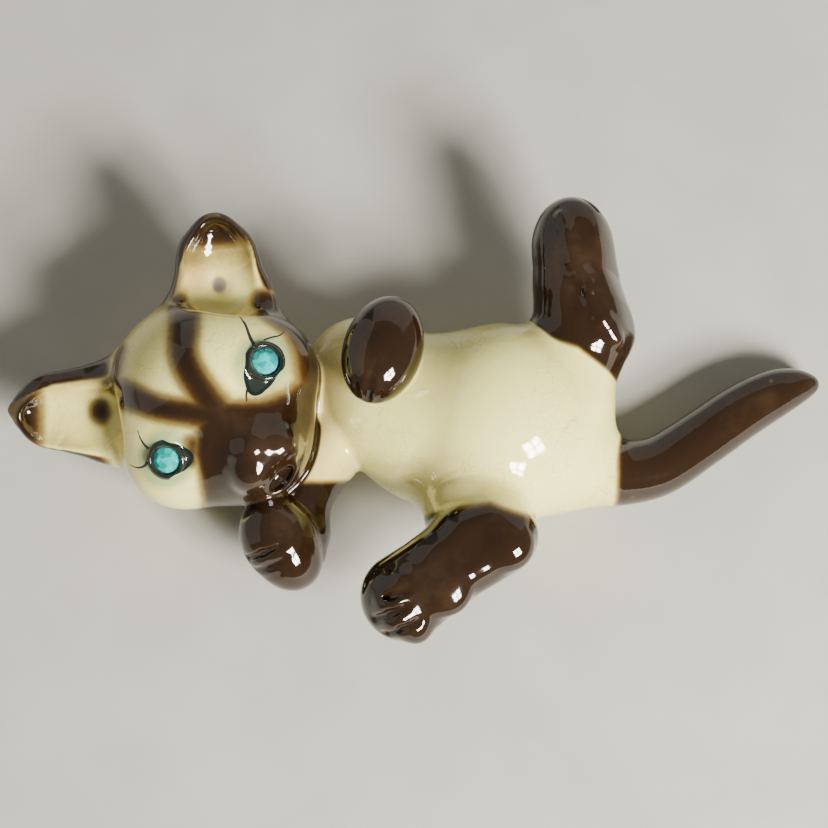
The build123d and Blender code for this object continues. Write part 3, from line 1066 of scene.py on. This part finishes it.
def foil():
    """Crinkled bright foil."""
    g = Graph("stone_foil")
    crinkle = g.noise(900.0, 3.0)
    g.set(Base_Color=g.mix(g.ramp(crinkle, 0.3, 0.7), (0.80, 0.84, 0.82, 1), (0.92, 0.95, 0.93, 1)))
    g.set(Metallic=1.0, Roughness=g.ramp(crinkle, 0.3, 0.7, 0.12, 0.28))
    g.set(Normal=g.bump(crinkle, 0.3, 0.0002))
    return g.material


def cement():
    """Dark set cement round the stone."""
    g = Graph("stone_cement")
    lumps = g.noise(700.0, 3.0)
    g.set(Base_Color=g.mix(g.ramp(lumps, 0.3, 0.7), (0.012, 0.035, 0.032, 1), (0.05, 0.08, 0.06, 1)))
    g.set(Roughness=g.ramp(lumps, 0.3, 0.7, 0.3, 0.5))
    g.set(Normal=g.bump(lumps, 0.4, 0.0002))
    return g.material


def pale_floor():
    """Plain pale paper."""
    g = Graph("pale_floor")
    fibre = g.noise(35.0, 3.0)
    g.set(Base_Color=g.mix(g.ramp(fibre, 0.3, 0.7), (0.45, 0.44, 0.395, 1), (0.49, 0.48, 0.43, 1)))
    g.set(Roughness=0.8)
    return g.material


# ---------------------------------------------------------------- the pieces
cream_glaze = glaze("cream_glaze_painted")
brown_glaze = glaze("brown_glaze_painted")
for node, piece in build_skin().items():
    mesh = piece.data
    places = np.empty(len(mesh.vertices) * 3, np.float32)
    mesh.vertices.foreach_get("co", places)
    ground = (places[2::3] < FLAT_HEIGHT).astype(np.float32)
    layer = mesh.attributes.new("ground", "FLOAT", "POINT")
    layer.data.foreach_set("value", ground)
    brown = node in LIMBS
    mesh.materials.append(brown_glaze if brown else cream_glaze)
    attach(piece, "root")
    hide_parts(node)

ink = enamel()
LINES = {
    "left_upper_lash": ([(18.2, 4.6), (18.9, 7.2), (20.2, 10.4), (20.6, 13.2)], [1.1, 0.95, 0.7, 0.25]),
    "left_side_lash": ([(20.8, 4.4), (22.6, 3.6), (24.4, 2.6), (26.2, 2.6)], [0.5, 0.55, 0.45, 0.2]),
    "left_inner_line": ([(9.4, -1.6), (8.2, -2.6), (7.2, -3.8)], [0.6, 0.6, 0.3]),
    "right_upper_lash": ([(-18.4, 4.6), (-18.6, 6.6), (-18.2, 8.6), (-17.2, 10.6)], [0.9, 0.8, 0.5, 0.2]),
    "right_side_lash": ([(-20.8, 3.6), (-22.4, 3.2), (-24.2, 4.2), (-25.4, 6.4)], [0.9, 0.8, 0.55, 0.2]),
}
for name, (points, widths) in LINES.items():
    line = brush_line(name, points, widths)
    line.data.materials.append(ink)
    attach(line, "root")

CARRIED = {"eye_stone": stone_glass(), "eye_foil": foil(), "eye_cement": cement()}
for side_name in ("left", "right"):
    for kind, material in CARRIED.items():
        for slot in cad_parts[f"{side_name}_{kind}"].material_slots:
            slot.material = material

# ---------------------------------------------------------------- floor, light and camera
bpy.ops.mesh.primitive_plane_add(size=6)
floor = bpy.context.object
floor.name = "floor"
floor.data.materials.append(pale_floor())

world = bpy.data.worlds.new("studio")
bpy.context.scene.world = world
world.use_nodes = True
world.node_tree.nodes["Background"].inputs["Color"].default_value = (1.0, 0.98, 0.92, 1)
world.node_tree.nodes["Background"].inputs["Strength"].default_value = 0.20


def area_light(name, towards, at, distance, size, power, colour=(1, 1, 1)):
    """A soft rectangular light, placed along a direction from a point and aimed back at it."""
    data = bpy.data.lights.new(name, "AREA")
    data.shape = "RECTANGLE"
    data.size, data.size_y = size
    data.energy = power
    data.color = colour
    made = bpy.data.objects.new(name, data)
    made.location = Vector(at) + Vector(towards).normalized() * distance
    made.rotation_euler = Vector(towards).to_track_quat("Z", "Y").to_euler()
    bpy.context.collection.objects.link(made)
    return made


AIM = Vector((0.0, 0.0, 0.03))
WINDOW = Vector((0.51, -0.62, 0.59)).normalized()
window_right = WINDOW.cross(Vector((0, 0, 1))).normalized()
window_up = window_right.cross(WINDOW).normalized()
PANE, BAR = 0.15, 0.03
PANE_POWER, WINDOW_DISTANCE = 9.4, 1.0
ROOM_POWER, ROOM_DISTANCE = 4.5, 1.6
WARM = (1.0, 0.975, 0.90)
for i in (-0.5, 0.5):
    for j in (-0.5, 0.5):
        pane = area_light("pane", WINDOW, AIM, WINDOW_DISTANCE, (PANE, PANE), PANE_POWER, WARM)
        pane.location += (window_right * i + window_up * j) * (PANE + BAR)
area_light("room_left", (-0.9, 0.25, 0.42), AIM, ROOM_DISTANCE, (2.4, 1.6), ROOM_POWER, WARM)
area_light("room_back", (0.25, 0.95, 0.40), AIM, ROOM_DISTANCE, (2.6, 1.4), ROOM_POWER, WARM)

CAMERA_HEIGHT = math.radians(72)
CAMERA_DISTANCE = 0.650
TARGET = Vector((-0.023, 0.0, 0.025))
LENS, SENSOR = 110.8, 36  # mm
camera_data = bpy.data.cameras.new("camera")
camera_data.lens = LENS
camera_data.sensor_width = SENSOR
camera = bpy.data.objects.new("camera", camera_data)
back = Vector((0, -math.cos(CAMERA_HEIGHT), math.sin(CAMERA_HEIGHT)))
camera.location = TARGET + back * CAMERA_DISTANCE
camera.rotation_euler = back.to_track_quat("Z", "Y").to_euler()
bpy.context.collection.objects.link(camera)
bpy.context.scene.camera = camera
